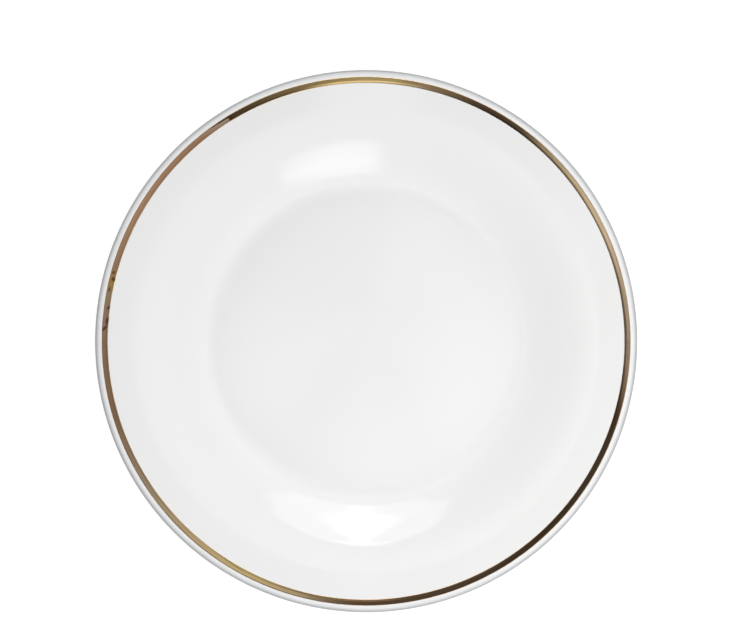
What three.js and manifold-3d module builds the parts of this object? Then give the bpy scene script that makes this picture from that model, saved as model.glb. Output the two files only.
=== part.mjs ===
// A shallow rimmed porcelain serving bowl with a gilt line, as the layers it is fired from.
// Millimetres, +Z up. The origin is the centre of the foot ring's resting face.
//
// One meridian, the outline of half the bowl cut through its axis, drives every piece:
// the glaze lies under it, the porcelain body under the glaze, and the gold on top of it.
import * as THREE from "three";
import { mergeVertices } from "three/addons/utils/BufferGeometryUtils.js";
import Module from "manifold-3d";

// Inside of the bowl
const FLOOR_HEIGHT = 9.0; // top of the flat well above the table
const WELL_RADIUS = 78.0; // the well is flat out to here
const COVE_RADIUS = 86.6; // the cove has turned up into the wall here
const WALL_RADIUS = 97.0; // the wall is steepest here, and a little rounded on both sides
const SHOULDER_RADIUS = 108.9; // the wall starts to bend over into the rim here
const RIM_RADIUS = 121.5; // the shoulder has eased into the rim here
const LIP_INNER_RADIUS = 133.0; // the rim is straight out to here
const CREST_RADIUS = 137.2; // highest circle of the lip
const COVE_SLOPE = THREE.MathUtils.degToRad(38.2);
const WALL_SLOPE = THREE.MathUtils.degToRad(39.4);
const SHOULDER_SLOPE = THREE.MathUtils.degToRad(38.7);
const RIM_SLOPE = THREE.MathUtils.degToRad(20);

// Lip and outside
const LIP_RADIUS = 140.0; // outermost circle of the lip
const LIP_DROP = 2.8; // from the crest down to the outermost circle
const LIP_THICKNESS = 5.4; // from the crest down to the lowest circle of the lip
const LIP_UNDER_RADIUS = 137.3; // that lowest circle's radius
const LIP_JOIN_RADIUS = 129.0; // the lip's underside runs into the rim's underside here
const WALL_THICKNESS = 4.6;

// Foot ring
const FOOT_OUTER_RADIUS = 71.5;
const FOOT_INNER_RADIUS = 66.5;
const FOOT_OUTER_FILLET = 2.2;
const FOOT_INNER_FILLET = 1.6;
const FOOT_EDGE_ROUND = 0.9;
const RECESS_HEIGHT = 3.8; // underside of the base above the table
const BARE_HEIGHT = 1.2; // the glaze is wiped off the foot up to here

// Layers
const GLAZE_THICKNESS = 0.3;
const GOLD_THICKNESS = 0.15;
const LAYER_GAP = 0.02; // keeps bonded layers from sharing a surface
const GOLD_INNER_RADIUS = 133.1;
const GOLD_OUTER_RADIUS = 136.2;
const LAP_START = THREE.MathUtils.degToRad(112); // the line's end laps over its start
const LAP_END = THREE.MathUtils.degToRad(127.5);
const LAP_INSET = 0.15; // the lapping end is this much narrower on each side

const SEGMENTS = 48; // facets round the axis
const ARC_STEPS = 3; // steps in each rounded stretch of the meridian

const EAST = 0;
const NORTH = Math.PI / 2;
const WEST = Math.PI;
const SOUTH = -Math.PI / 2;

const point = (radius, height) => new THREE.Vector2(radius, height);

// A quarter of an ellipse round a centre, between two of its compass points, without the first.
function quarter(centre, radii, from, to) {
  const clockwise = to < from;
  const curve = new THREE.EllipseCurve(
    centre.x, centre.y, radii.x, radii.y, from, to, clockwise,
  );
  return curve.getPoints(ARC_STEPS).slice(1);
}

// A stretch of meridian from a point and slope out to a radius and another slope.
// It is straight where the slope stays the same, and one circular arc where it changes.
function stretch(start, startSlope, endRadius, endSlope) {
  const reach = endRadius - start.x;
  if (startSlope === endSlope) {
    return [point(endRadius, start.y + reach * Math.tan(startSlope))];
  }
  const bend = reach / (Math.sin(endSlope) - Math.sin(startSlope));
  return Array.from({ length: ARC_STEPS }, (_, i) => {
    const slope = THREE.MathUtils.lerp(startSlope, endSlope, (i + 1) / ARC_STEPS);
    return point(
      start.x + bend * (Math.sin(slope) - Math.sin(startSlope)),
      start.y + bend * (Math.cos(startSlope) - Math.cos(slope)),
    );
  });
}

// The inside of the bowl, from the axis at the well's floor out to the crest of the lip.
function insideMeridian() {
  const legs = [
    [WELL_RADIUS, 0],
    [COVE_RADIUS, COVE_SLOPE],
    [WALL_RADIUS, WALL_SLOPE],
    [SHOULDER_RADIUS, SHOULDER_SLOPE],
    [RIM_RADIUS, RIM_SLOPE],
    [LIP_INNER_RADIUS, RIM_SLOPE],
    [CREST_RADIUS, 0],
  ];
  const line = [point(0, FLOOR_HEIGHT)];
  let slope = 0;
  for (const [radius, nextSlope] of legs) {
    line.push(...stretch(line.at(-1), slope, radius, nextSlope));
    slope = nextSlope;
  }
  return line;
}

// The top of the lip, from its crest out to its outermost circle.
function lipTopMeridian(crest) {
  const radii = point(LIP_RADIUS - crest.x, LIP_DROP);
  return quarter(point(crest.x, crest.y - LIP_DROP), radii, NORTH, EAST);
}

// The underside of the lip, from its outermost circle in to the underside of the rim.
function lipUnderMeridian(outermost, rimUnderside) {
  const radii = point(LIP_RADIUS - LIP_UNDER_RADIUS, LIP_THICKNESS - LIP_DROP);
  const roll = quarter(point(LIP_UNDER_RADIUS, outermost.y), radii, EAST, SOUTH);
  const lowest = roll.at(-1);
  const drop = (lowest.y - rimUnderside.y) / Math.tan(RIM_SLOPE);
  const corner = point(rimUnderside.x + drop, lowest.y);
  const blend = new THREE.QuadraticBezierCurve(lowest, corner, rimUnderside);
  return [...roll, ...blend.getPoints(ARC_STEPS).slice(1)];
}

// The outer side of the foot, from the underside of the bowl down to the glaze's edge.
function footSideMeridian(undersideHeight) {
  const corner = point(FOOT_OUTER_RADIUS + FOOT_OUTER_FILLET, undersideHeight - FOOT_OUTER_FILLET);
  const radii = point(FOOT_OUTER_FILLET, FOOT_OUTER_FILLET);
  return [
    point(corner.x, undersideHeight),
    ...quarter(corner, radii, NORTH, WEST),
    point(FOOT_OUTER_RADIUS, BARE_HEIGHT),
  ];
}

// The bare foot, from the glaze's edge on its outer side round to the one on its inner side.
function footMeridian() {
  const bareTop = BARE_HEIGHT - LAYER_GAP;
  const radii = point(FOOT_EDGE_ROUND, FOOT_EDGE_ROUND);
  const outerEdge = point(FOOT_OUTER_RADIUS - FOOT_EDGE_ROUND, FOOT_EDGE_ROUND);
  const innerEdge = point(FOOT_INNER_RADIUS + FOOT_EDGE_ROUND, FOOT_EDGE_ROUND);
  return [
    point(FOOT_OUTER_RADIUS, bareTop),
    point(FOOT_OUTER_RADIUS, outerEdge.y),
    ...quarter(outerEdge, radii, EAST, SOUTH),
    point(innerEdge.x, 0),
    ...quarter(innerEdge, radii, SOUTH, -WEST),
    point(FOOT_INNER_RADIUS, bareTop),
  ];
}

// The underside of the base, from the axis to the glaze's edge inside the foot ring.
function recessMeridian() {
  const corner = point(FOOT_INNER_RADIUS - FOOT_INNER_FILLET, RECESS_HEIGHT - FOOT_INNER_FILLET);
  const radii = point(FOOT_INNER_FILLET, FOOT_INNER_FILLET);
  return [
    point(0, RECESS_HEIGHT),
    point(corner.x, RECESS_HEIGHT),
    ...quarter(corner, radii, NORTH, EAST),
    point(FOOT_INNER_RADIUS, BARE_HEIGHT),
  ];
}

// Moves each point of a meridian along its normal, to the right of someone walking along it.
function offset(line, distance) {
  return line.map((p, i) => {
    const before = line[Math.max(i - 1, 0)];
    const after = line[Math.min(i + 1, line.length - 1)];
    const arriving = p.clone().sub(before).normalize();
    const leaving = after.clone().sub(p).normalize();
    if (i === 0) arriving.copy(leaving);
    const along = arriving.clone().add(leaving).normalize();
    const shift = distance / along.dot(arriving);
    return point(p.x + along.y * shift, p.y - along.x * shift);
  });
}

// The part of a meridian between two radii, cut exactly there.
function between(line, fromRadius, toRadius) {
  const cutAt = (radius) => {
    const i = line.findIndex((p) => p.x > radius);
    const share = (radius - line[i - 1].x) / (line[i].x - line[i - 1].x);
    return line[i - 1].clone().lerp(line[i], share);
  };
  const middle = line.filter((p) => p.x > fromRadius && p.x < toRadius);
  return [cutAt(fromRadius), ...middle, cutAt(toRadius)];
}

// A named mesh of a closed meridian turned about +Z.
function turned(name, meridian, material) {
  const outline = [...meridian];
  if (THREE.ShapeUtils.isClockWise(outline)) outline.reverse();
  const geometry = new THREE.LatheGeometry(outline, SEGMENTS);
  geometry.rotateX(Math.PI / 2);
  const mesh = new THREE.Mesh(geometry, material);
  mesh.name = name;
  return mesh;
}

// A layer that lies between two offsets of one stretch of meridian.
function layer(name, line, near, far, material) {
  const nearSide = offset(line, near);
  const farSide = offset(line, far).reverse();
  const closing = line[0].x > 0 ? [nearSide[0].clone()] : [];
  return turned(name, [...nearSide, ...farSide, ...closing], material);
}

const wasm = await Module();
wasm.setup();

function solidOf(geometry) {
  const bare = geometry.clone();
  bare.deleteAttribute("normal");
  bare.deleteAttribute("uv");
  const merged = mergeVertices(bare);
  const mesh = new wasm.Mesh({
    numProp: 3,
    vertProperties: merged.attributes.position.array,
    triVerts: new Uint32Array(merged.index.array),
  });
  return new wasm.Manifold(mesh);
}

function geometryOf(solid) {
  const mesh = solid.getMesh();
  const geometry = new THREE.BufferGeometry();
  geometry.setAttribute("position", new THREE.BufferAttribute(mesh.vertProperties, 3));
  geometry.setIndex(new THREE.BufferAttribute(mesh.triVerts, 1));
  geometry.computeVertexNormals();
  return geometry;
}

// Keeps only the part of a ring between two angles round the axis.
function keepSector(ring, fromAngle, toAngle) {
  const reach = 2 * LIP_RADIUS; // far enough out for the wedge's straight side to clear the lip
  const wedge = new THREE.Shape([
    point(0, 0),
    point(reach * Math.cos(fromAngle), reach * Math.sin(fromAngle)),
    point(reach * Math.cos(toAngle), reach * Math.sin(toAngle)),
  ]);
  const prism = new THREE.ExtrudeGeometry(wedge, { depth: LIP_RADIUS, bevelEnabled: false });
  ring.geometry = geometryOf(solidOf(ring.geometry).intersect(solidOf(prism)));
  return ring;
}

const porcelain = new THREE.MeshStandardMaterial({ color: 0xe6e4df, roughness: 0.85 });
const glaze = new THREE.MeshStandardMaterial({ color: 0xf2f2f0, roughness: 0.06 });
const baseGlaze = new THREE.MeshStandardMaterial({ color: 0xefefec, roughness: 0.1 });
const gold = new THREE.MeshStandardMaterial({ color: 0xc9a050, roughness: 0.15, metalness: 1 });
const lapGold = new THREE.MeshStandardMaterial({ color: 0xb08a62, roughness: 0.2, metalness: 1 });

// The whole glazed surface is one meridian, from the well's centre to the foot's outer side.
const inside = insideMeridian();
const rimTop = [...inside, ...lipTopMeridian(inside.at(-1))];
const underside = offset(inside, WALL_THICKNESS)
  .filter((p) => p.x >= WELL_RADIUS && p.x < LIP_JOIN_RADIUS)
  .reverse();
const rimUnderside = point(
  LIP_JOIN_RADIUS,
  underside[0].y + (LIP_JOIN_RADIUS - underside[0].x) * Math.tan(RIM_SLOPE),
);
const glazed = [
  ...rimTop,
  ...lipUnderMeridian(rimTop.at(-1), rimUnderside),
  ...underside,
  ...footSideMeridian(underside.at(-1).y),
];
const recess = recessMeridian();

// The fired body is inside the glaze everywhere, and bare only where the foot stands.
const bodyDepth = GLAZE_THICKNESS + LAYER_GAP;
const body = [
  ...offset(glazed, bodyDepth),
  ...footMeridian(),
  ...offset(recess, -bodyDepth).reverse(),
];

// The gold line is one brushed ring, and its end runs on over its start for a short way.
const lineBottom = LAYER_GAP;
const lineTop = lineBottom + GOLD_THICKNESS;
const lapBottom = lineTop + LAYER_GAP;
const lapTop = lapBottom + GOLD_THICKNESS;
const gilded = between(rimTop, GOLD_INNER_RADIUS, GOLD_OUTER_RADIUS);
const lapped = between(rimTop, GOLD_INNER_RADIUS + LAP_INSET, GOLD_OUTER_RADIUS - LAP_INSET);
const lapRing = layer("gold_lap", lapped, -lapBottom, -lapTop, lapGold);

const bowl = new THREE.Group();
bowl.add(
  turned("porcelain_body", body, porcelain),
  layer("glaze_coat", glazed, 0, GLAZE_THICKNESS, glaze),
  layer("base_glaze", recess, 0, -GLAZE_THICKNESS, baseGlaze),
  layer("gold_line", gilded, -lineBottom, -lineTop, gold),
  keepSector(lapRing, LAP_START, LAP_END),
);

export default bowl;
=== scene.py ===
# %% [markdown]
# # A porcelain serving bowl with a gilt line
#
# A bowl like this is pressed or thrown from one piece of clay, fired, dipped in a clear
# glaze, fired again, and then set on a turntable, where a line of liquid gold is brushed
# round the rim and fixed in a last, cooler firing. Each of those layers is a piece here.
#
# The sizes were settled in the CAD model, so the script starts by loading it. Everything
# below is in metres, stands on the table at Z = 0 and is centred on the bowl's axis.

# %% Load the frame
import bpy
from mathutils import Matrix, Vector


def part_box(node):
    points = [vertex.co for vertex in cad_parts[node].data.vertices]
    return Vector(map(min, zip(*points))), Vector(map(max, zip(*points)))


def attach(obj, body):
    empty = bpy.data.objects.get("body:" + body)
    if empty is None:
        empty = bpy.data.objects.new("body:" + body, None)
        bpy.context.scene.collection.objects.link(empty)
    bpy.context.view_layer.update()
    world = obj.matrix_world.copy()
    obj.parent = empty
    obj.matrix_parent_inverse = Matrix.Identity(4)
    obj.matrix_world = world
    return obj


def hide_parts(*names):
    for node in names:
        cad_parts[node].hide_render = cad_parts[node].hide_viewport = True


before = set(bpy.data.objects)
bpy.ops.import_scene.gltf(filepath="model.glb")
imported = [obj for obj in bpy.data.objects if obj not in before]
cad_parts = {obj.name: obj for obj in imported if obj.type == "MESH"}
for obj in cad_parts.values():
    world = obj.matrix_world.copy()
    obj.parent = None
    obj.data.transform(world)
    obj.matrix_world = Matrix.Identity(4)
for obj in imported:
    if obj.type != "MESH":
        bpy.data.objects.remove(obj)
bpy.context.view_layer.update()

# %% [markdown]
# ## Driving sizes
#
# One outline drives the whole bowl: half of a cut through its axis. It is described in
# legs, each with the radius that it reaches and the slope that it has there. The well is
# flat, the cove turns up into a nearly straight wall, the shoulder eases into a gentler
# rim, and the rim rolls over into the lip. The lip's radius is read from the frame, and
# the other sizes are the CAD model's own, so the pieces fill the space of its solids.

# %% Driving sizes
import math

import bpy
from mathutils import Vector

MM = 0.001
_, glaze_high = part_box("glaze_coat")

WELL_RADIUS = 78.0 * MM
COVE_RADIUS = 86.6 * MM
WALL_RADIUS = 97.0 * MM
SHOULDER_RADIUS = 108.9 * MM
RIM_RADIUS = 121.5 * MM
LIP_INNER_RADIUS = 133.0 * MM
CREST_RADIUS = 137.2 * MM
LIP_RADIUS = glaze_high.x
FLOOR_HEIGHT = 9.0 * MM
COVE_SLOPE = math.radians(38.2)
WALL_SLOPE = math.radians(39.4)
SHOULDER_SLOPE = math.radians(38.7)
RIM_SLOPE = math.radians(20)

LIP_DROP = 2.8 * MM
LIP_THICKNESS = 5.4 * MM
LIP_UNDER_RADIUS = 137.3 * MM
LIP_JOIN_RADIUS = 129.0 * MM
WALL_THICKNESS = 4.6 * MM

FOOT_OUTER_RADIUS = 71.5 * MM
FOOT_INNER_RADIUS = 66.5 * MM
FOOT_OUTER_FILLET = 2.2 * MM
FOOT_INNER_FILLET = 1.6 * MM
FOOT_EDGE_ROUND = 0.9 * MM
RECESS_HEIGHT = 3.8 * MM
BARE_HEIGHT = 1.2 * MM

GLAZE_THICKNESS = 0.3 * MM
LAYER_GAP = 0.02 * MM
GOLD_INNER_RADIUS = 133.1 * MM
GOLD_OUTER_RADIUS = 136.2 * MM
print("Lip radius in millimetres:", round(LIP_RADIUS / MM, 2))

# %% [markdown]
# ## The outline, as legs and arcs
#
# A leg whose slope changes is one circular arc, and a leg that keeps its slope is
# straight. Writing the arc from its two slopes is what keeps neighbouring legs tangent,
# and a glossy glaze shows every kink. A potter's template is cut in the same way.


# %% Outline helpers
def at(radius, height):
    """A point of the outline, in the plane that the bowl is spun from."""
    return Vector((radius, 0.0, height))


def leg(start, start_slope, end_radius, end_slope, steps):
    """The next stretch of outline: straight, or one arc where the slope changes."""
    reach = end_radius - start.x
    points = []
    for step in range(1, steps + 1):
        if start_slope == end_slope:
            along = reach * step / steps
            points.append(start + at(along, along * math.tan(start_slope)))
            continue
        slope = start_slope + (end_slope - start_slope) * step / steps
        bend = reach / (math.sin(end_slope) - math.sin(start_slope))
        out = bend * (math.sin(slope) - math.sin(start_slope))
        up = bend * (math.cos(start_slope) - math.cos(slope))
        points.append(start + at(out, up))
    return points


def quarter(centre, width, height, start_angle, end_angle, steps):
    """A quarter of an ellipse, without its first point."""
    points = []
    for step in range(1, steps + 1):
        angle = start_angle + (end_angle - start_angle) * step / steps
        points.append(centre + at(width * math.cos(angle), height * math.sin(angle)))
    return points


def offset(outline, distance):
    """The outline moved along its normals, to the right of someone walking along it."""
    moved = []
    for index, here in enumerate(outline):
        before = outline[max(index - 1, 0)]
        after = outline[min(index + 1, len(outline) - 1)]
        leaving = (after - here).normalized() if after != here else (here - before).normalized()
        arriving = (here - before).normalized() if before != here else leaving
        along = (arriving + leaving).normalized()
        shift = distance / along.dot(arriving)
        moved.append(here + at(along.z * shift, -along.x * shift))
    return moved


EAST, NORTH, WEST, SOUTH = 0.0, math.pi / 2, math.pi, -math.pi / 2
sample = leg(at(0.0, 0.0), 0.0, 10 * MM, math.radians(45), 2)
print("A 10 mm leg from flat to 45 degrees rises, in mm:", [round(p.z / MM, 2) for p in sample])


# %% The inside, from the middle of the well to the lip
def inside_outline():
    """The inside of the bowl, from the axis out to the crest of the lip."""
    legs = [
        (WELL_RADIUS * 0.5, 0.0, 1),
        (WELL_RADIUS * 0.9, 0.0, 3),
        (WELL_RADIUS, 0.0, 2),
        (COVE_RADIUS, COVE_SLOPE, 5),
        (WALL_RADIUS, WALL_SLOPE, 3),
        (SHOULDER_RADIUS, SHOULDER_SLOPE, 3),
        (RIM_RADIUS, RIM_SLOPE, 5),
        (LIP_INNER_RADIUS, RIM_SLOPE, 3),
        (CREST_RADIUS, 0.0, 3),
    ]
    outline = [at(0.0, FLOOR_HEIGHT)]
    slope = 0.0
    for radius, next_slope, steps in legs:
        outline += leg(outline[-1], slope, radius, next_slope, steps)
        slope = next_slope
    return outline


inside = inside_outline()
crest = inside[-1]
lip_middle = at(CREST_RADIUS, crest.z - LIP_DROP)
lip_top = quarter(lip_middle, LIP_RADIUS - CREST_RADIUS, LIP_DROP, NORTH, EAST, 4)
rim_top = inside + lip_top
print("Crest of the lip in millimetres:", [round(value / MM, 2) for value in crest])


# %% The outside, from the lip down to the foot
def outside_outline():
    """From the lip's outermost circle, under the rim and down the wall to the glaze's edge."""
    roll_middle = at(LIP_UNDER_RADIUS, crest.z - LIP_DROP)
    roll_width = LIP_RADIUS - LIP_UNDER_RADIUS
    roll = quarter(roll_middle, roll_width, LIP_THICKNESS - LIP_DROP, EAST, SOUTH, 4)
    backs = offset(inside, WALL_THICKNESS)
    under = [p for p in backs if WELL_RADIUS <= p.x < LIP_JOIN_RADIUS][::-1]
    rise = (LIP_JOIN_RADIUS - under[0].x) * math.tan(RIM_SLOPE)
    join = at(LIP_JOIN_RADIUS, under[0].z + rise)
    lowest = roll[-1]
    corner = at(join.x + (lowest.z - join.z) / math.tan(RIM_SLOPE), lowest.z)
    blend = [lowest.lerp(corner, t).lerp(corner.lerp(join, t), t) for t in (0.33, 0.67, 1.0)]
    fillet_middle = at(FOOT_OUTER_RADIUS + FOOT_OUTER_FILLET, under[-1].z - FOOT_OUTER_FILLET)
    fillet = quarter(fillet_middle, FOOT_OUTER_FILLET, FOOT_OUTER_FILLET, NORTH, WEST, 4)
    foot_top = at(fillet_middle.x, under[-1].z)
    edge = at(FOOT_OUTER_RADIUS, BARE_HEIGHT)
    return roll + blend + under + [foot_top] + fillet + [edge]


glazed = rim_top + outside_outline()
print("Points in the glazed outline:", len(glazed))

# %% [markdown]
# ## Spinning an outline into a solid
#
# The outline is drawn as by hand: one vertex is pulled along it with Extrude, and Spin
# carries the chain once round the axis. A spin leaves the first and last rows lying on
# each other and may face inwards, so doubles are merged and the normals recalculated
# before anything is given a thickness. Subdivision Surface then rounds the facets. It
# draws a ring of corners inwards a little, so the corners start that much further out.

# %% Spin helpers
SIDES = 48
SWELL = 3 / (2 + math.cos(math.tau / SIDES))
MERGE_REACH = 0.002 * MM
print("Corners start this many times as far out:", round(SWELL, 5))


def deselect_all():
    """Goes back to object mode with nothing selected."""
    if bpy.context.mode != "OBJECT":
        bpy.ops.object.mode_set(mode="OBJECT")
    bpy.ops.object.select_all(action="DESELECT")


def draw_outline(name, outline):
    """Pulls a single vertex along an outline, and leaves the chain in edit mode."""
    deselect_all()
    bpy.ops.mesh.primitive_plane_add(size=MM, location=outline[0])
    piece = bpy.context.object
    piece.name = name
    piece.data.name = name
    bpy.ops.object.transform_apply(location=True, rotation=True, scale=True)
    bpy.ops.object.mode_set(mode="EDIT")
    bpy.ops.mesh.select_all(action="SELECT")
    bpy.ops.mesh.merge(type="CENTER")
    for here, there in zip(outline, outline[1:]):
        pull = {"value": there - here}
        bpy.ops.mesh.extrude_vertices_move(TRANSFORM_OT_translate=pull)
    return piece


def spin_outline(name, outline, steps, angle=math.tau):
    """Turns an outline about the Z axis, and leaves the piece in edit mode."""
    piece = draw_outline(name, outline)
    bpy.ops.mesh.select_all(action="SELECT")
    bpy.ops.mesh.spin(steps=steps, angle=angle, center=(0, 0, 0), axis=(0, 0, 1))
    bpy.ops.mesh.select_all(action="SELECT")
    bpy.ops.mesh.remove_doubles(threshold=MERGE_REACH)
    bpy.ops.mesh.normals_make_consistent(inside=False)
    return piece


def apply_modifier(piece, kind, **settings):
    """Adds a modifier with these settings and applies it."""
    bpy.context.view_layer.objects.active = piece
    modifier = piece.modifiers.new(kind.title(), kind)
    for setting, value in settings.items():
        setattr(modifier, setting, value)
    bpy.ops.object.modifier_apply(modifier=modifier.name)


def swollen(outline):
    """The outline with its radii enlarged for the ring that subdivision draws inwards."""
    return [at(p.x * SWELL, p.z) for p in outline]


def finish_piece(piece, node, sharpest=math.pi):
    """Smooth shading up to an angle, and the piece's place in the frame."""
    bpy.ops.object.mode_set(mode="OBJECT")
    bpy.ops.object.shade_smooth()
    if sharpest < math.pi:
        bpy.ops.object.shade_smooth_by_angle(angle=sharpest)
    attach(piece, "root")
    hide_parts(node)
    print(piece.name, "has", len(piece.data.polygons), "faces")


# %% [markdown]
# ## The fired body
#
# Under the glaze is the porcelain itself, fired until it is dense and almost glassy. It
# shows only where the bowl stands, because the glaze is wiped from the foot so that it
# can't stick to the kiln shelf. It is one closed outline: under the glaze from the middle
# of the well over the lip and down, round the bare foot, and back under the base.


# %% The porcelain body
def foot_outline():
    """The bare foot, from the glaze's edge on its outer side to the one on its inner side."""
    bare_top = BARE_HEIGHT - LAYER_GAP
    edge = FOOT_EDGE_ROUND
    outer = at(FOOT_OUTER_RADIUS - edge, edge)
    inner = at(FOOT_INNER_RADIUS + edge, edge)
    return [
        at(FOOT_OUTER_RADIUS, bare_top),
        at(FOOT_OUTER_RADIUS, edge),
        *quarter(outer, edge, edge, EAST, SOUTH, 3),
        at((outer.x + inner.x) / 2, 0.0),
        at(inner.x, 0.0),
        *quarter(inner, edge, edge, SOUTH, -WEST, 3),  # -WEST is west, reached clockwise
        at(FOOT_INNER_RADIUS, bare_top),
    ]


def recess_outline():
    """The glazed underside of the base, from the axis to the glaze's inner edge."""
    corner = at(FOOT_INNER_RADIUS - FOOT_INNER_FILLET, RECESS_HEIGHT - FOOT_INNER_FILLET)
    return [
        at(0.0, RECESS_HEIGHT),
        at(corner.x * 0.5, RECESS_HEIGHT),
        at(corner.x * 0.97, RECESS_HEIGHT),
        at(corner.x, RECESS_HEIGHT),
        *quarter(corner, FOOT_INNER_FILLET, FOOT_INNER_FILLET, NORTH, EAST, 3),
        at(FOOT_INNER_RADIUS, BARE_HEIGHT),
    ]


body_depth = GLAZE_THICKNESS + LAYER_GAP
recess = recess_outline()
body_outline = offset(glazed, body_depth) + foot_outline() + offset(recess, -body_depth)[::-1]
body = spin_outline("fired_body", swollen(body_outline), SIDES)
bpy.ops.object.mode_set(mode="OBJECT")
apply_modifier(body, "SUBSURF", levels=2, render_levels=2)
finish_piece(body, "porcelain_body")

# %% [markdown]
# ## The glaze
#
# The glaze is a skin 0.3 mm thick, and Solidify gives it that thickness inwards, so that
# its outer side stays on the outline. Its free edge on the foot gets rounded by the
# subdivision, as melted glass rounds itself where it was wiped. The sheet under the base
# comes out of the spin facing up, into the clay, so it is flipped first.

# %% The glaze over the bowl and under the base
glaze = spin_outline("glaze_over_bowl", swollen(glazed), SIDES)
bpy.ops.object.mode_set(mode="OBJECT")
apply_modifier(glaze, "SOLIDIFY", thickness=GLAZE_THICKNESS, offset=-1.0, use_rim=True)
apply_modifier(glaze, "SUBSURF", levels=2, render_levels=2)
finish_piece(glaze, "glaze_coat")

base = spin_outline("glaze_under_base", swollen(recess), SIDES)
bpy.ops.mesh.flip_normals()
bpy.ops.object.mode_set(mode="OBJECT")
lowest_normal = min(face.normal.z for face in base.data.polygons)
highest_normal = max(face.normal.z for face in base.data.polygons)
print("The base's faces point down, from", round(lowest_normal, 2), "to", round(highest_normal, 2))
apply_modifier(base, "SOLIDIFY", thickness=GLAZE_THICKNESS, offset=-1.0, use_rim=True)
apply_modifier(base, "SUBSURF", levels=2, render_levels=2)
finish_piece(base, "base_glaze")

# %% [markdown]
# ## The gold line
#
# Liquid gold is brushed on while the bowl turns on a wheel, and burns down to a film. A
# full brush leaves a little more along both edges than in the middle, and that bead is
# what catches a thin line of light, so it is in the outline here. The circle is spun in
# many more steps than the porcelain, because a mirror shows every facet.

# %% The gold line
GOLD_STEPS = 384
GOLD_POINTS = 17
GOLD_FILM = 0.04 * MM
GOLD_EDGE_SHARE = 0.3
GOLD_BEAD = 0.01 * MM
GOLD_BEAD_PLACE = 0.24 * MM
GOLD_BEAD_SPREAD = 0.16 * MM


def stretch_between(outline, from_radius, to_radius, count):
    """Evenly spaced points of a rising outline between two radii."""
    points = []
    for step in range(count):
        radius = from_radius + (to_radius - from_radius) * step / (count - 1)
        index = next(i for i, p in enumerate(outline) if p.x > radius)
        low, high = outline[index - 1], outline[index]
        points.append(low.lerp(high, (radius - low.x) / (high.x - low.x)))
    return points


def film_outline(middle_line, lift):
    """A closed outline of a brushed film: a bead near both edges, which end thin."""
    bottom = offset(middle_line, -lift)
    full = offset(middle_line, -lift - GOLD_FILM)
    inner, outer = middle_line[0].x, middle_line[-1].x
    top = []
    for low, high in zip(bottom, full):
        from_edge = min(low.x - inner, outer - low.x)
        off_bead = (from_edge - GOLD_BEAD_PLACE) / GOLD_BEAD_SPREAD
        top.append(high + at(0.0, GOLD_BEAD * math.exp(-off_bead * off_bead)))
    top[0] = bottom[0].lerp(full[0], GOLD_EDGE_SHARE)
    top[-1] = bottom[-1].lerp(full[-1], GOLD_EDGE_SHARE)
    return top + bottom[::-1] + top[:1]


gilded = stretch_between(rim_top, GOLD_INNER_RADIUS, GOLD_OUTER_RADIUS, GOLD_POINTS)
gold = spin_outline("gilt_line", film_outline(gilded, LAYER_GAP), GOLD_STEPS)
bpy.ops.object.mode_set(mode="OBJECT")
finish_piece(gold, "gold_line")

# %% [markdown]
# ## Where the brush stroke ends
#
# The stroke ends a little past where it began, so gold lies on gold there. The lap is
# full width first, stops at a squared step, and one edge of the brush drags on as a thin
# tail. It is a strip spun through a few degrees only, from the tail's end back, because
# Spin runs clockwise. The tail is cut with Bisect before Solidify makes it a film.

# %% The lap
LAP_START = math.radians(112)
LAP_STEP = math.radians(122)
LAP_END = math.radians(127.5)
LAP_INSET = 0.2 * MM
LAP_POINTS = 11
LAP_SPIN_STEPS = 48
LAP_CREASE = math.radians(40)
TAIL_WIDTH = 1.1 * MM


def turned(point, angle):
    """The outline's point, carried round the axis."""
    return Vector((point.x * math.cos(angle), point.x * math.sin(angle), point.z))


lap_inner = GOLD_INNER_RADIUS + LAP_INSET
lap_outer = GOLD_OUTER_RADIUS - LAP_INSET
lap_line = stretch_between(rim_top, lap_inner, lap_outer, LAP_POINTS)
lap_bottom = offset(lap_line, -2 * LAYER_GAP - GOLD_FILM)
lap_end = [turned(p, LAP_END) for p in lap_bottom]
lap = spin_outline("gilt_lap", lap_end, LAP_SPIN_STEPS, LAP_END - LAP_START)
bpy.ops.mesh.select_all(action="DESELECT")
bpy.ops.object.mode_set(mode="OBJECT")
print("The lap's strip has", len(lap.data.polygons), "faces")

# %% Cut the tail and give the lap its thickness
for face in lap.data.polygons:
    face.select = math.atan2(face.center.y, face.center.x) > LAP_STEP
bpy.ops.object.mode_set(mode="EDIT")
bpy.ops.mesh.select_mode(type="FACE")
tail_start = turned(at(GOLD_OUTER_RADIUS - TAIL_WIDTH, 0.0), LAP_STEP)
tail_end = turned(at(lap_outer, 0.0), LAP_END)
along_tail = (tail_end - tail_start).normalized()
across_tail = Vector((-along_tail.y, along_tail.x, 0.0))
bpy.ops.mesh.bisect(plane_co=tail_start, plane_no=across_tail, clear_outer=True)
bpy.ops.mesh.select_all(action="SELECT")
bpy.ops.mesh.delete_loose()
bpy.ops.object.mode_set(mode="OBJECT")
apply_modifier(lap, "SOLIDIFY", thickness=GOLD_FILM, offset=1.0, use_rim=True)
finish_piece(lap, "gold_lap", sharpest=LAP_CREASE)
lap_turns = [math.degrees(math.atan2(v.co.y, v.co.x)) for v in lap.data.vertices]
print("The lap runs in degrees from", round(min(lap_turns), 1), "to", round(max(lap_turns), 1))
lap_low, lap_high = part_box("gold_lap")
print("CAD lap's low corner in millimetres:", [round(v / MM, 1) for v in lap_low])
print("CAD lap's high corner in millimetres:", [round(v / MM, 1) for v in lap_high])

# %% [markdown]
# ## Small helpers for materials
#
# Every finish below is a node tree. These helpers add a node, join two nodes, do sums
# and make groups, so that a material reads from top to bottom like a recipe.


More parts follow.
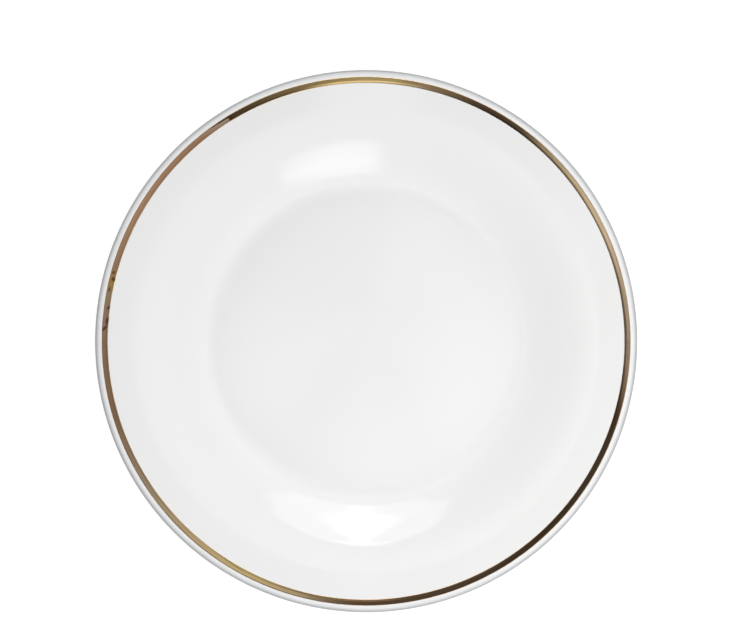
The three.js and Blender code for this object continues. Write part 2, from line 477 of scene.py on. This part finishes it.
# %% Node helpers
def feed(tree, socket, term):
    """Joins another node's output to this input, or sets the input to a plain value."""
    if isinstance(term, bpy.types.NodeSocket):
        tree.links.new(term, socket)
    else:
        socket.default_value = term


def add_node(tree, kind, inputs, **settings):
    """A node with these settings. Inputs go by name or by number."""
    node = tree.nodes.new("ShaderNode" + kind)
    for name, value in settings.items():
        setattr(node, name, value)
    for name, term in inputs.items():
        feed(tree, node.inputs[name], term)
    return node


def sum_of(tree, operation, *terms):
    """One step of arithmetic, such as ADD or MULTIPLY."""
    return add_node(tree, "Math", dict(enumerate(terms)), operation=operation).outputs[0]


# %% Colour and noise helpers
def rescale(tree, value, from_low, from_high, to_low, to_high):
    """A value carried smoothly from one range to another, and held at both ends."""
    inputs = {
        "Value": value,
        "From Min": from_low,
        "From Max": from_high,
        "To Min": to_low,
        "To Max": to_high,
    }
    node = add_node(tree, "MapRange", inputs, interpolation_type="SMOOTHSTEP")
    return node.outputs["Result"]


def mixed(tree, amount, first, second):
    """The first colour where the amount is 0, and the second where it is 1."""
    node = add_node(tree, "Mix", {0: amount, 6: first, 7: second}, data_type="RGBA")
    return node.outputs[2]


def scale_of_colours(tree, position, stops):
    """A colour ramp. Each stop is a position and a colour, or a position and a grey."""
    node = add_node(tree, "ValToRGB", {0: position})
    ramp = node.color_ramp
    while len(ramp.elements) < len(stops):
        ramp.elements.new(1.0)
    for element, (place, colour) in zip(ramp.elements, stops):
        grey = isinstance(colour, float)
        element.position = place
        element.color = (colour, colour, colour, 1.0) if grey else (*colour, 1.0)
    return node.outputs["Color"]


def noise(tree, vector, scale, detail=2.0, roughness=0.5):
    inputs = {"Vector": vector, "Scale": scale, "Detail": detail, "Roughness": roughness}
    return add_node(tree, "TexNoise", inputs).outputs["Fac"]


# %% Group and material helpers
def new_group(name, inputs, outputs):
    """An empty node group. Inputs are (name, kind, value) and outputs are (name, kind)."""
    group = bpy.data.node_groups.new(name, "ShaderNodeTree")
    for label, kind, value in inputs:
        socket = group.interface.new_socket(label, in_out="INPUT", socket_type=kind)
        if value is not None:
            socket.default_value = value
    for label, kind in outputs:
        group.interface.new_socket(label, in_out="OUTPUT", socket_type=kind)
    print("Group", name, "gives", ", ".join(label for label, _ in outputs))
    return group, group.nodes.new("NodeGroupInput").outputs, group.nodes.new("NodeGroupOutput").inputs


def use_group(tree, group, **inputs):
    """Places a group, and returns its outputs."""
    node = tree.nodes.new("ShaderNodeGroup")
    node.node_tree = group
    for name, term in inputs.items():
        feed(tree, node.inputs[name.replace("_", " ")], term)
    return node.outputs


def new_material(name, **constants):
    """A material whose constants are set on the shader itself."""
    material = bpy.data.materials.new(name)
    material.use_nodes = True
    shader = material.node_tree.nodes["Principled BSDF"]
    for label, value in constants.items():
        shader.inputs[label.replace("_", " ")].default_value = value
    coordinates = add_node(material.node_tree, "TexCoord", {}).outputs["Object"]
    return material, material.node_tree, shader.inputs, coordinates


def bump_up(tree, shader, height):
    """Lets the light fall as on a surface with these heights, in millimetres."""
    bump = add_node(tree, "Bump", {"Height": height, "Distance": MM, "Strength": 1.0})
    feed(tree, shader["Normal"], bump.outputs["Normal"])


def dress(piece, material):
    piece.data.materials.clear()
    piece.data.materials.append(material)
    print(piece.name, "wears", material.name)


# %% [markdown]
# ## Where a point is on a turned thing
#
# Everything on a bowl follows the wheel: a grey shade is painted on the lip's outer edge,
# the foot wears at its lowest ring, and the gold's colour changes along the brush stroke.
# This group turns a place into an angle round the axis in degrees, a radius and a height
# in millimetres, and every material uses it.

# %% Group: place on the wheel
FLOAT, VECTOR = "NodeSocketFloat", "NodeSocketVector"
wheel, given, result = new_group(
    "place on the wheel",
    [("Place", VECTOR, None)],
    [("Angle", FLOAT), ("Radius", FLOAT), ("Height", FLOAT), ("Unrolled", VECTOR)],
)
parts = add_node(wheel, "SeparateXYZ", {0: given["Place"]}).outputs
turn = sum_of(wheel, "ARCTAN2", parts["Y"], parts["X"])
degrees = sum_of(wheel, "MULTIPLY", turn, math.degrees(1))
around = sum_of(wheel, "FLOORED_MODULO", degrees, 360.0)
square_x = sum_of(wheel, "MULTIPLY", parts["X"], parts["X"])
square = sum_of(wheel, "MULTIPLY_ADD", parts["Y"], parts["Y"], square_x)
radius = sum_of(wheel, "MULTIPLY", sum_of(wheel, "SQRT", square), 1 / MM)
height = sum_of(wheel, "MULTIPLY", parts["Z"], 1 / MM)
unrolled = add_node(wheel, "CombineXYZ", {"X": around, "Y": radius, "Z": height}).outputs[0]
feed(wheel, result["Angle"], around)
feed(wheel, result["Radius"], radius)
feed(wheel, result["Height"], height)
feed(wheel, result["Unrolled"], unrolled)

# %% [markdown]
# ## Specks
#
# However clean the clay, a fired bowl has a few pinholes and specks of iron. Voronoi
# cells give one dot each, and a second, random value for each cell keeps only a small
# share of them. The glaze, the base and the bare foot use this with different sizes.

# %% Group: specks
specks, given, result = new_group(
    "specks",
    [("Place", VECTOR, None), ("Spacing", FLOAT, 10.0), ("Size", FLOAT, 0.2), ("Share", FLOAT, 0.1)],
    [("Mask", FLOAT)],
)
per_metre = sum_of(specks, "DIVIDE", 1 / MM, given["Spacing"])
cells = add_node(specks, "TexVoronoi", {"Vector": given["Place"], "Scale": per_metre}).outputs
reach = sum_of(specks, "DIVIDE", given["Size"], given["Spacing"])
near = rescale(specks, sum_of(specks, "DIVIDE", cells["Distance"], reach), 0.4, 1.0, 1.0, 0.0)
lot = add_node(specks, "SeparateColor", {0: cells["Color"]}).outputs[0]
kept = sum_of(specks, "LESS_THAN", lot, given["Share"])
feed(specks, result["Mask"], sum_of(specks, "MULTIPLY", near, kept))

# %% [markdown]
# ## The skin of a glaze
#
# Melted glaze is never quite flat. It keeps a fine ripple like orange peel, and over it
# the rings that the wheel left in the clay. The heights are thousandths of a millimetre,
# and show only where something bright is mirrored.

# %% Group: glaze ripple
PEEL_SCALE = 420.0
RING_RADIANS = 0.85
SWAY_SCALE = 22.0
SWAY_RADIANS = 2.4

ripple, given, result = new_group(
    "glaze ripple",
    [("Place", VECTOR, None), ("Peel", FLOAT, 0.004), ("Rings", FLOAT, 0.006)],
    [("Height", FLOAT)],
)
spot = use_group(ripple, wheel, Place=given["Place"])
peel = sum_of(ripple, "SUBTRACT", noise(ripple, given["Place"], PEEL_SCALE, 1.0), 0.5)
sway = noise(ripple, given["Place"], SWAY_SCALE, 1.0)
ring_count = sum_of(ripple, "MULTIPLY", spot["Radius"], RING_RADIANS)
rings = sum_of(ripple, "SINE", sum_of(ripple, "MULTIPLY_ADD", sway, SWAY_RADIANS, ring_count))
peel_part = sum_of(ripple, "MULTIPLY", peel, given["Peel"])
total = sum_of(ripple, "MULTIPLY_ADD", rings, given["Rings"], peel_part)
feed(ripple, result["Height"], total)

# %% [markdown]
# ## White glaze
#
# Porcelain glaze is clear glass over a white body, so it is a smooth, white shader
# without metal. What makes it look real is what varies: a little warmer or cooler from
# place to place, a painted grey shade over the outer edge of the lip, painted light that
# makes the well a little whiter, dull where spoons have rubbed, and a few specks. Each
# of these begins and ends at a distance from the axis, given here in millimetres.

# %% Material: white glaze
WHITE = (0.800, 0.800, 0.805, 1.0)
WARM_WHITE = (0.800, 0.797, 0.794, 1.0)
# Whiter glaze: painted light in the well of the bowl, and pooled glaze in the corner of the foot ring
# under the base.
LIT_AND_POOLED_WHITE = (0.846, 0.846, 0.847, 1.0)
# Painted shade: the grey of the lip's outer edge.
LIP_SHADE_GREY = (0.50, 0.51, 0.525, 1.0)
IRON = (0.30, 0.25, 0.20, 1.0)
# Painted light in the well, by millimetres from the axis.
WELL_LIGHT_GROWS = (15.0, 60.0)
WELL_LIGHT_ENDS = (80.0, 100.0)
WELL_LIGHT_IN_THE_MIDDLE = 0.55
# Painted shade on the lip, from where it starts to where it is full, in millimetres from the axis.
LIP_SHADE_BAND = (137.4, 139.7)
RUBBED = (30.0, 80.0)
RUBBED_ROUGHNESS = 0.05
RUB_MARKS = (60.0, 900.0, 60.0)


def white_glaze():
    material, tree, shader, place = new_material("white glaze", IOR=1.5)
    spot = use_group(tree, wheel, Place=place)
    clouds = rescale(tree, noise(tree, place, 14.0, 3.0), 0.35, 0.65, 0.0, 1.0)
    colour = mixed(tree, clouds, WHITE, WARM_WHITE)
    # Painted light: the well is made whiter. It is full from 60 to 80 mm from the axis and fades out
    # up the wall.
    into_cove = rescale(tree, spot["Radius"], *WELL_LIGHT_GROWS, WELL_LIGHT_IN_THE_MIDDLE, 1.0)
    out_of_cove = rescale(tree, spot["Radius"], *WELL_LIGHT_ENDS, 1.0, 0.0)
    lit_and_pooled = sum_of(tree, "MULTIPLY", into_cove, out_of_cove)
    colour = mixed(tree, lit_and_pooled, colour, LIT_AND_POOLED_WHITE)
    # Painted shade: the upper side of the lip's outer edge greys outwards, with a ragged inner
    # border.
    uneven = sum_of(tree, "MULTIPLY_ADD", noise(tree, place, 60.0), 0.5, spot["Radius"])
    thin_film_and_lip_shade = rescale(tree, uneven, *LIP_SHADE_BAND, 0.0, 1.0)
    widest_height = lip_middle.z / MM
    upper_side = rescale(tree, spot["Height"], widest_height - 1.0, widest_height, 0.0, 1.0)
    thin_film_and_lip_shade = sum_of(tree, "MULTIPLY", thin_film_and_lip_shade, upper_side)
    colour = mixed(tree, thin_film_and_lip_shade, colour, LIP_SHADE_GREY)
    dots = use_group(tree, specks, Place=place, Spacing=14.0, Size=0.28, Share=0.05)["Mask"]
    colour = mixed(tree, sum_of(tree, "MULTIPLY", dots, 0.55), colour, IRON)
    feed(tree, shader["Base Color"], colour)

    rubbed = rescale(tree, spot["Radius"], *RUBBED, RUBBED_ROUGHNESS, 0.0)
    strokes = add_node(tree, "Mapping", {"Vector": place, "Scale": RUB_MARKS}).outputs[0]
    streaks = rescale(tree, noise(tree, strokes, 1.0, 3.0), 0.55, 0.75, 0.0, 1.0)
    rubbing = sum_of(tree, "MULTIPLY", rubbed, streaks)
    soft = sum_of(tree, "MULTIPLY_ADD", noise(tree, place, 35.0), 0.018, 0.010)
    feed(tree, shader["Roughness"], sum_of(tree, "ADD", soft, rubbing))

    skin = use_group(tree, ripple, Place=place, Peel=0.004, Rings=0.0025)["Height"]
    pins = use_group(tree, specks, Place=place, Spacing=9.0, Size=0.18, Share=0.06)["Mask"]
    skin = sum_of(tree, "MULTIPLY_ADD", pins, -0.03, skin)
    bump_up(tree, shader, skin)
    return material


dress(glaze, white_glaze())

# %% [markdown]
# ## Glaze under the base
#
# The base gets the same glaze with less care: it is thicker where it ran into the corner
# of the foot ring, and it has picked up more specks and a rougher skin.


# %% Material: base glaze
def base_glaze():
    material, tree, shader, place = new_material("base glaze", IOR=1.5)
    spot = use_group(tree, wheel, Place=place)
    clouds = rescale(tree, noise(tree, place, 24.0, 3.0), 0.35, 0.65, 0.0, 1.0)
    colour = mixed(tree, clouds, WARM_WHITE, WHITE)
    lit_and_pooled = rescale(tree, spot["Radius"], 60.0, 65.5, 0.0, 0.8)
    colour = mixed(tree, lit_and_pooled, colour, LIT_AND_POOLED_WHITE)
    dots = use_group(tree, specks, Place=place, Spacing=8.0, Size=0.4, Share=0.08)["Mask"]
    colour = mixed(tree, sum_of(tree, "MULTIPLY", dots, 0.7), colour, IRON)
    feed(tree, shader["Base Color"], colour)
    feed(tree, shader["Roughness"], rescale(tree, clouds, 0.0, 1.0, 0.06, 0.14))
    skin = use_group(tree, ripple, Place=place, Peel=0.012, Rings=0.012)["Height"]
    bump_up(tree, shader, skin)
    return material


dress(base, base_glaze())

# %% [markdown]
# ## Bare porcelain
#
# The foot ring has no glaze, so the fired clay shows: matt, a little creamier than the
# glaze, finely gritty, and grey on the lowest ring where it has slid on tables.


# %% Material: bare porcelain
BISQUE = [(0.3, (0.70, 0.675, 0.63)), (0.7, (0.75, 0.735, 0.70))]
SLID_GREY = (0.36, 0.35, 0.335, 1.0)


def bare_porcelain():
    material, tree, shader, place = new_material("bare porcelain", IOR=1.45)
    spot = use_group(tree, wheel, Place=place)
    grain = noise(tree, place, 1800.0, 4.0, 0.7)
    clouds = noise(tree, place, 45.0, 3.0)
    colour = scale_of_colours(tree, clouds, BISQUE)
    lowest = rescale(tree, spot["Height"], 0.0, 0.35, 1.0, 0.0)
    patches = rescale(tree, noise(tree, place, 130.0, 4.0, 0.7), 0.4, 0.62, 0.0, 0.55)
    worn = sum_of(tree, "MULTIPLY", lowest, patches)
    colour = mixed(tree, worn, colour, SLID_GREY)
    grit = use_group(tree, specks, Place=place, Spacing=2.2, Size=0.22, Share=0.2)["Mask"]
    colour = mixed(tree, sum_of(tree, "MULTIPLY", grit, 0.5), colour, IRON)
    feed(tree, shader["Base Color"], colour)
    feed(tree, shader["Roughness"], rescale(tree, worn, 0.0, 0.5, 0.78, 0.5))
    skin = sum_of(tree, "MULTIPLY_ADD", grit, 0.03, sum_of(tree, "MULTIPLY", grain, 0.03))
    bump_up(tree, shader, skin)
    return material


dress(body, bare_porcelain())

# %% [markdown]
# ## Marks in the gold
#
# A bit of dust under the brush, a touch of a finger before firing, or a worn spot leaves
# a small dark mark in the film. This group draws one slanted oval mark at an angle round
# the rim and a radius, and the gold places it several times.

# %% Group: mark in the gold
mark, given, result = new_group(
    "mark in the gold",
    [
        ("Angle", FLOAT, None),
        ("Radius", FLOAT, None),
        ("At Angle", FLOAT, 170.0),
        ("At Radius", FLOAT, 134.0),
        ("Length", FLOAT, 1.0),
        ("Width", FLOAT, 0.5),
        ("Slant", FLOAT, 0.0),
    ],
    [("Mask", FLOAT)],
)
millimetres_a_degree = math.radians(1) * GOLD_OUTER_RADIUS / MM
turn_away = sum_of(mark, "SUBTRACT", given["Angle"], given["At Angle"])
along = sum_of(mark, "MULTIPLY", turn_away, millimetres_a_degree)
out = sum_of(mark, "SUBTRACT", given["Radius"], given["At Radius"])
leant = sum_of(mark, "SUBTRACT", along, sum_of(mark, "MULTIPLY", out, given["Slant"]))
long_share = sum_of(mark, "DIVIDE", leant, given["Length"])
wide_share = sum_of(mark, "DIVIDE", out, given["Width"])
long_square = sum_of(mark, "MULTIPLY", long_share, long_share)
both_squares = sum_of(mark, "MULTIPLY_ADD", wide_share, wide_share, long_square)
feed(mark, result["Mask"], rescale(mark, both_squares, 0.08, 0.3, 1.0, 0.0))

# %% [markdown]
# ## Fired gold
#
# Bright gold mirrors the room, so most of its light and dark comes from the lamps. Its
# own colour changes along the stroke, because the film is thicker or thinner there:
# yellow where it is thick, coppery or pinkish where it is thin. A bright yellow stretch
# near the top of the rim is a painted highlight laid on that colour. Fine streaks run
# with the brush. Thin gold is also a little rougher. A dark reflection is painted along
# the inner edge on one side of the bowl, and along the outer edge on the other side.

# %% Colours along the stroke, by degrees round the rim
GOLD_COLOURS = [
    (0, (0.90, 0.68, 0.47)),
    (20, (0.93, 0.72, 0.47)),
    (47, (0.96, 0.75, 0.45)),
    (61, (0.84, 0.56, 0.32)),
    (76, (0.93, 0.67, 0.38)),
    # From 84 to 96 degrees the colour is brightened into a painted highlight: the lens of light at
    # the top of the rim.
    (84, (1.00, 0.76, 0.34)),
    (96, (1.00, 0.73, 0.31)),
    (112, (0.86, 0.62, 0.30)),
    (123, (0.97, 0.78, 0.56)),
    (129, (0.88, 0.51, 0.30)),
    (150, (0.88, 0.56, 0.34)),
    (164, (0.82, 0.49, 0.29)),
    (167, (1.00, 0.62, 0.18)),
    (169.5, (0.82, 0.64, 0.38)),
    (172, (0.80, 0.60, 0.36)),
    (173.5, (0.88, 0.56, 0.42)),
    (176, (0.88, 0.56, 0.42)),
    (178, (0.86, 0.58, 0.37)),
    (195, (0.88, 0.55, 0.34)),
    (213, (0.90, 0.68, 0.44)),
    (228, (0.98, 0.74, 0.40)),
    (243, (0.98, 0.76, 0.34)),
    (258, (0.90, 0.66, 0.38)),
    (270, (0.82, 0.50, 0.28)),
    (288, (0.86, 0.60, 0.36)),
    (315, (0.86, 0.58, 0.34)),
    (333, (0.98, 0.74, 0.50)),
    (345, (0.80, 0.50, 0.28)),
    (360, (0.90, 0.68, 0.47)),
]
LAP_COLOURS = [
    (110, (0.86, 0.62, 0.30)),
    (116, (0.72, 0.52, 0.24)),
    (119, (0.36, 0.26, 0.11)),
    (121.5, (0.15, 0.10, 0.04)),
    (128, (0.16, 0.10, 0.05)),
]
print("Colours along the line:", len(GOLD_COLOURS), "and along the lap:", len(LAP_COLOURS))

# %% Marks, by degrees round the rim and millimetres
LINE_MARKS = [
    {"At_Angle": 166.2, "At_Radius": 134.0, "Length": 2.7, "Width": 2.2, "Slant": 0.0},
    {"At_Angle": 164.8, "At_Radius": 134.8, "Length": 1.8, "Width": 1.4, "Slant": 0.5},
    {"At_Angle": 168.6, "At_Radius": 134.9, "Length": 3.0, "Width": 0.9, "Slant": 0.8},
    {"At_Angle": 172.6, "At_Radius": 133.7, "Length": 2.4, "Width": 2.0, "Slant": 0.3},
    {"At_Angle": 175.5, "At_Radius": 133.7, "Length": 4.6, "Width": 2.2, "Slant": 0.4},
    {"At_Angle": 177.1, "At_Radius": 134.7, "Length": 2.2, "Width": 3.6, "Slant": 0.9},
]
LAP_MARKS = [
    {"At_Angle": 121.4, "At_Radius": 134.4, "Length": 4.0, "Width": 6.0, "Slant": 0.3},
]
print("Marks in the line:", len(LINE_MARKS), "and in the lap:", len(LAP_MARKS))

# %% Material: fired gold
THIN_GOLD = (0.60, 0.34, 0.18, 1.0)
DARK_GOLD = (0.10, 0.045, 0.02, 1.0)
BRUSH_STREAKS = (0.14, 3.6, 3.6)
# Painted dark reflection along the gold's edges: where it lies, round which side of the bowl, and how
# dark.
INNER_BEAD = (133.2, 133.9)
INNER_BEAD_ANGLE = 35.0
INNER_BEAD_PAINTED_SHADE = 0.8
OUTER_BEAD = (135.5, 136.1)
OUTER_BEAD_ANGLE = 237.0
OUTER_BEAD_PAINTED_SHADE = 0.6


def on_side(tree, angle, middle):
    """From 1 at this angle round the rim down to 0 a quarter of a turn away from it."""
    away = sum_of(tree, "MULTIPLY", sum_of(tree, "SUBTRACT", angle, middle), math.radians(1))
    return rescale(tree, sum_of(tree, "COSINE", away), 0.0, 0.9, 0.0, 1.0)


def fired_gold(name, colours, marks):
    material, tree, shader, place = new_material(name, Metallic=1.0)
    spot = use_group(tree, wheel, Place=place)
    turns = sum_of(tree, "DIVIDE", spot["Angle"], 360.0)
    tint = scale_of_colours(tree, turns, [(angle / 360, colour) for angle, colour in colours])
    stretched = {"Vector": spot["Unrolled"], "Scale": BRUSH_STREAKS}
    strokes = add_node(tree, "Mapping", stretched).outputs[0]
    streaks = noise(tree, strokes, 1.0, 3.0, 0.6)
    thin_film_and_lip_shade = rescale(tree, streaks, 0.45, 0.7, 0.0, 1.0)
    colour = mixed(tree, sum_of(tree, "MULTIPLY", thin_film_and_lip_shade, 0.7), tint, THIN_GOLD)
    # Painted reflection: the inner edge is darkened on one side of the bowl, and the outer edge on
    # the other.
    inner_edge = rescale(tree, spot["Radius"], *INNER_BEAD, INNER_BEAD_PAINTED_SHADE, 0.0)
    outer_edge = rescale(tree, spot["Radius"], *OUTER_BEAD, 0.0, OUTER_BEAD_PAINTED_SHADE)
    inner_side = on_side(tree, spot["Angle"], INNER_BEAD_ANGLE)
    outer_side = on_side(tree, spot["Angle"], OUTER_BEAD_ANGLE)
    inner_edge = sum_of(tree, "MULTIPLY", inner_edge, inner_side)
    outer_edge = sum_of(tree, "MULTIPLY", outer_edge, outer_side)
    painted_edge_shade = sum_of(tree, "MAXIMUM", inner_edge, outer_edge)
    colour = mixed(tree, painted_edge_shade, colour, DARK_GOLD)
    flaws = 0.0
    for settings in marks:
        one = use_group(tree, mark, Angle=spot["Angle"], Radius=spot["Radius"], **settings)["Mask"]
        flaws = sum_of(tree, "MAXIMUM", one, flaws)
    colour = mixed(tree, sum_of(tree, "MULTIPLY", flaws, 0.85), colour, DARK_GOLD)
    feed(tree, shader["Base Color"], colour)
    rough = sum_of(tree, "MULTIPLY_ADD", thin_film_and_lip_shade, 0.06, 0.05)
    feed(tree, shader["Roughness"], sum_of(tree, "MULTIPLY_ADD", flaws, 0.3, rough))
    skin = sum_of(tree, "MULTIPLY", streaks, 0.004)
    bump_up(tree, shader, skin)
    return material


dress(gold, fired_gold("fired gold", GOLD_COLOURS, LINE_MARKS))
dress(lap, fired_gold("lapped gold", LAP_COLOURS, LAP_MARKS))

# %% [markdown]
# ## The table
#
# The bowl stands on a plain pale table. To the camera it glows nearly white, with enough
# of a matt surface left to take a faint shadow. To everything else it is a mid grey,
# because a white one would light and be mirrored in the lip, and the bowl's edge would
# vanish against it.

# %% Table
TABLE_SIZE = 12.0
TABLE_DROP = 0.1 * MM
MID_GREY = (0.42, 0.42, 0.42, 1.0)
SHADOW_GREY = (0.28, 0.28, 0.28, 1.0)
TABLE_GLOW = 0.86

deselect_all()
bpy.ops.mesh.primitive_plane_add(size=TABLE_SIZE, location=(0, 0, -TABLE_DROP))
table = bpy.context.object
table.name = "table"
table_material, tree, shader, _ = new_material("table", Base_Color=MID_GREY, Roughness=0.9)
shadowed = add_node(tree, "BsdfDiffuse", {"Color": SHADOW_GREY}).outputs[0]
glow = add_node(tree, "Emission", {"Strength": TABLE_GLOW}).outputs[0]
bright = add_node(tree, "AddShader", {0: shadowed, 1: glow}).outputs[0]
seen = add_node(tree, "LightPath", {}).outputs["Is Camera Ray"]
grey = tree.nodes["Principled BSDF"].outputs[0]
surface = add_node(tree, "MixShader", {0: seen, 1: grey, 2: bright}).outputs[0]
feed(tree, tree.nodes["Material Output"].inputs["Surface"], surface)
dress(table, table_material)

# %% [markdown]
# ## The studio
#
# White china is lit in a tent: bright cloth all round, and a dim ceiling with the lens
# in it. The glaze mirrors little and needs the even light. The gold mirrors the ceiling,
# so the stretches of the ceiling that are lit or dark are what give it its sparkle. The
# ceiling is painted as two rings, a low one and a high one, by degrees round the bowl.

# %% The ceiling's lit and dark stretches
LOW_CEILING = [
    (0, 0.18),
    (30, 0.20),
    (45, 0.36),
    (62, 0.22),
    (75, 0.06),
    (90, 0.45),
    (100, 0.10),
    (120, 0.09),
    (135, 0.04),
    (180, 0.05),
    (195, 0.06),
    (207, 0.34),
    (216, 0.18),
    (225, 0.03),
    (243, 0.03),
    (256, 0.22),
    (263, 1.00),
    (277, 0.95),
    (284, 0.12),
    (297, 0.06),
    (300, 0.20),
    (330, 0.30),
    (360, 0.18),
]
HIGH_CEILING = [
    (0, 0.25),
    (15, 0.22),
    (40, 0.40),
    (58, 0.55),
    (74, 0.46),
    (85, 0.11),
    (130, 0.05),
    (167, 0.05),
    (178, 0.33),
    (193, 0.42),
    (208, 0.66),
    (227, 0.46),
    (234, 0.07),
    (246, 0.07),
    (254, 0.22),
    (268, 0.42),
    (284, 0.20),
    (297, 0.06),
    (300, 0.36),
    (330, 0.40),
    (360, 0.25),
]
print("Stops round the ceiling:", len(LOW_CEILING), "low and", len(HIGH_CEILING), "high")

# %% The tent
TENT = 0.97
TENT_LEAN = (-0.06, 0.035, 0.0)
TENT_TOP = (math.sin(math.radians(51)), math.sin(math.radians(56)))
LOW_CEILING_TOP = (math.sin(math.radians(61)), math.sin(math.radians(70)))
HORIZON_TOP = 0.3
HORIZON_LIGHT = 0.3
BACKDROP = (0.93, 0.93, 0.93, 1.0)

scene = bpy.context.scene
scene.view_settings.view_transform = "Standard"
world = bpy.data.worlds.new("studio")
scene.world = world
world.use_nodes = True
tree = world.node_tree
direction = add_node(tree, "TexCoord", {}).outputs["Generated"]
parts = add_node(tree, "SeparateXYZ", {0: direction}).outputs
turn = sum_of(tree, "ARCTAN2", parts["Y"], parts["X"])
share = sum_of(tree, "FLOORED_MODULO", sum_of(tree, "DIVIDE", turn, math.tau), 1.0)
low_part = scale_of_colours(tree, share, [(angle / 360, grey) for angle, grey in LOW_CEILING])
high_part = scale_of_colours(tree, share, [(angle / 360, grey) for angle, grey in HIGH_CEILING])
ceiling = mixed(tree, rescale(tree, parts["Z"], *LOW_CEILING_TOP, 0.0, 1.0), low_part, high_part)
horizon = rescale(tree, parts["Z"], 0.0, HORIZON_TOP, HORIZON_LIGHT, 1.0)
lean = add_node(tree, "VectorMath", {0: direction, 1: TENT_LEAN}, operation="DOT_PRODUCT")
level = sum_of(tree, "ADD", lean.outputs["Value"], TENT)
tent = sum_of(tree, "MULTIPLY", horizon, level)
above = rescale(tree, parts["Z"], *TENT_TOP, 0.0, 1.0)
light = mixed(tree, above, tent, ceiling)
seen = add_node(tree, "LightPath", {}).outputs["Is Camera Ray"]
light = mixed(tree, seen, light, BACKDROP)
feed(tree, tree.nodes["Background"].inputs["Color"], light)
print("The tent is", TENT, "times as bright as white paper")

# %% [markdown]
# ## Lamps
#
# Two long panels stand behind and in front of the bowl, low enough for the sloping wall
# across from each to mirror it as a long patch of light. The back panel has a hot column
# up its middle, and the front one fades towards its top and one end. A key light half a
# metre above the right-hand side makes that side of the well a little brighter. The
# glaze would mirror it as a bright square, so it is hidden from mirrored rays.


# %% Lamp helpers
def softbox(name, place, facing, size, brightness, paint=None):
    """A rectangular lamp of a given brightness, white paper in full light being 1."""
    data = bpy.data.lights.new(name, "AREA")
    data.shape = "RECTANGLE"
    data.size, data.size_y = size
    data.energy = brightness * math.pi * data.size * data.size_y
    lamp = bpy.data.objects.new(name, data)
    scene.collection.objects.link(lamp)
    lamp.location = place
    lamp.rotation_euler = Vector(facing).to_track_quat("-Z", "Y").to_euler()
    if paint:
        data.use_nodes = True
        tree = data.node_tree
        across = add_node(tree, "TexCoord", {}).outputs["UV"]
        feed(tree, tree.nodes["Emission"].inputs["Strength"], paint(tree, across))
    print(name, "at", [round(v, 2) for v in place])
    return lamp


PANEL_DISTANCE = 1.2
PANEL_BOTTOM = 0.23


def panel(name, degrees_round, sideways, width, top, brightness, paint):
    """A panel that stands at an angle round the bowl and faces its axis."""
    out = turned(at(1.0, 0.0), math.radians(degrees_round))
    left = Vector((-out.y, out.x, 0.0))
    middle = Vector((0.0, 0.0, (PANEL_BOTTOM + top) / 2))
    place = out * PANEL_DISTANCE + left * sideways + middle
    return softbox(name, place, -out, (width, top - PANEL_BOTTOM), brightness, paint)


# %% How the panels are shaded, in shares of their width and height
BACK_BASE = 1.5
BACK_HOT = 3.3
HOT_MIDDLE = 0.54
HOT_NARROWS = (0.81, 0.86)
HOT_HALF_WIDTHS = (0.16, 0.04)
HOT_WIDENS = (0.93, 1.0)
HOT_WIDENING = 0.08
BACK_ENDS = (0.3, 0.5)
FRONT_TOP_FADES = (0.7, 0.98)
FRONT_DIMS = (0.15, 0.6)
FRONT_DIMMED = 0.87
FRONT_END_FADES = (0.0, 0.21)


def hot_middle(tree, across):
    """A hot column up the panel, wide low down and again at the top edge."""
    parts = add_node(tree, "SeparateXYZ", {0: across}).outputs
    off_middle = sum_of(tree, "ABSOLUTE", sum_of(tree, "SUBTRACT", parts["X"], HOT_MIDDLE))
    low_width = rescale(tree, parts["Y"], *HOT_NARROWS, *HOT_HALF_WIDTHS)
    top_width = rescale(tree, parts["Y"], *HOT_WIDENS, 0.0, HOT_WIDENING)
    share = sum_of(tree, "DIVIDE", off_middle, sum_of(tree, "ADD", low_width, top_width))
    hot = rescale(tree, share, 0.5, 1.5, 1.0, BACK_BASE / BACK_HOT)
    return sum_of(tree, "MULTIPLY", hot, rescale(tree, off_middle, *BACK_ENDS, 1.0, 0.5))


def soft_top(tree, across):
    """Fades towards the top edge and towards one end."""
    parts = add_node(tree, "SeparateXYZ", {0: across}).outputs
    upwards = rescale(tree, parts["Y"], *FRONT_TOP_FADES, 1.0, 0.0)
    along = rescale(tree, parts["X"], *FRONT_DIMS, FRONT_DIMMED, 1.0)
    end = rescale(tree, parts["X"], *FRONT_END_FADES, 0.0, 1.0)
    return sum_of(tree, "MULTIPLY", upwards, sum_of(tree, "MULTIPLY", along, end))


# %% Panels and key light
KEY_PLACE = Vector((0.19, -0.11, 0.5))
KEY_SIZE = (0.2, 0.2)
KEY_BRIGHTNESS = 8.9

panel(
    "back panel",
    degrees_round=87,
    sideways=-0.04,
    width=1.7,
    top=0.476,
    brightness=BACK_HOT,
    paint=hot_middle,
)
panel(
    "front panel",
    degrees_round=275,
    sideways=0.115,
    width=0.79,
    top=0.45,
    brightness=2.7,
    paint=soft_top,
)
key_light = softbox("key light", KEY_PLACE, -KEY_PLACE, KEY_SIZE, KEY_BRIGHTNESS)
key_light.visible_glossy = False

# %% [markdown]
# ## Camera
#
# The camera looks straight down from a little over a metre, almost over the middle of
# the bowl. Its lens is worked out from the lip's radius and from how large that should
# be on the sensor.

# %% Camera
CAMERA_HEIGHT = 1.1
CAMERA_PLACE = (2.50 * MM, 13.75 * MM, crest.z + CAMERA_HEIGHT)
SENSOR_WIDTH = 36.0
LIP_ON_SENSOR = 13.19

camera_data = bpy.data.cameras.new("camera")
camera = bpy.data.objects.new("camera", camera_data)
scene.collection.objects.link(camera)
camera.location = CAMERA_PLACE
camera_data.sensor_width = SENSOR_WIDTH
camera_data.lens = LIP_ON_SENSOR * CAMERA_HEIGHT / LIP_RADIUS
scene.camera = camera
print("Lens in millimetres:", round(camera_data.lens, 1))
